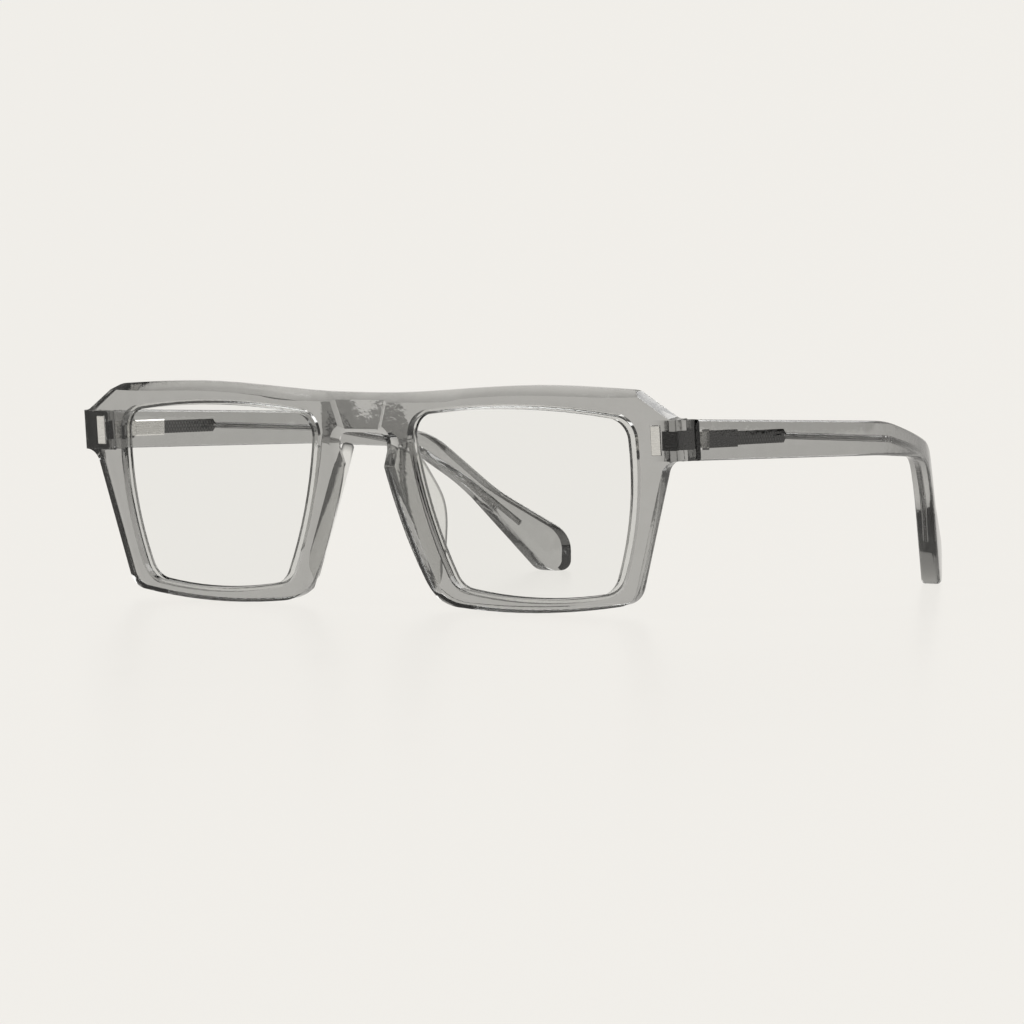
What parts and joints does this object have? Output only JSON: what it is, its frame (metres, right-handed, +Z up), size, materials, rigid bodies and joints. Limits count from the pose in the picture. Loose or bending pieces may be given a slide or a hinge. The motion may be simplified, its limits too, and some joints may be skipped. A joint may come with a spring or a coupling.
{
  "type": "square eyeglasses",
  "caption": "Square acetate eyeglasses with a keyhole bridge, bevelled brow, clear lenses and spring-hinged temples that fold.",
  "frame": {"origin": "on the surface the glasses stand on, in the middle of their outline, with the temples open", "axes": "+Z up, -Y the way the wearer looks, +X towards the temple on the viewer's right"},
  "size_m": [0.1428, 0.137, 0.0433],
  "materials": {
    "acetate": "translucent smoke-grey polished acetate",
    "clear_acetate": "clear polished acetate",
    "lens": "clear plano lens",
    "bright_steel": "polished nickel silver",
    "dark_steel": "spring and screw steel"
  },
  "bodies": {
    "front": {"front_frame": "acetate", "right_lens": "lens", "right_nose_pad": "clear_acetate", "right_front_plaque": "bright_steel", "right_front_hinge": "bright_steel", "right_hinge_screw": "dark_steel", "left_lens": "lens", "left_nose_pad": "clear_acetate", "left_front_plaque": "bright_steel", "left_front_hinge": "bright_steel", "left_hinge_screw": "dark_steel"},
    "right_slider": {"right_hinge_slider": "bright_steel", "right_spring_stop": "bright_steel"},
    "right_temple": {"right_temple": "acetate", "right_core_wire": "bright_steel", "right_spring_housing": "bright_steel", "right_hinge_spring": "dark_steel"},
    "left_slider": {"left_hinge_slider": "bright_steel", "left_spring_stop": "bright_steel"},
    "left_temple": {"left_temple": "acetate", "left_core_wire": "bright_steel", "left_spring_housing": "bright_steel", "left_hinge_spring": "dark_steel"}
  },
  "joints": [
    {"name": "right_temple_fold", "type": "hinge", "parent": "front", "child": "right_slider", "pos_m": [0.0675, -0.05647, 0.0332], "axis": [0, 0, 1], "range_deg": [0, 67]},
    {"name": "right_temple_flex", "type": "slide", "parent": "right_slider", "child": "right_temple", "axis": [0, 1, 0], "range_m": [0, 0.0016], "stiffness_N_per_m": 3000, "springref_m": -0.0005, "deforming": ["right_hinge_spring"]},
    {"name": "left_temple_fold", "type": "hinge", "parent": "front", "child": "left_slider", "pos_m": [-0.0675, -0.05647, 0.0332], "axis": [0, 0, -1], "range_deg": [0, 78]},
    {"name": "left_temple_flex", "type": "slide", "parent": "left_slider", "child": "left_temple", "axis": [0, 1, 0], "range_m": [0, 0.0016], "stiffness_N_per_m": 3000, "springref_m": -0.0005, "deforming": ["left_hinge_spring"]}
  ]
}
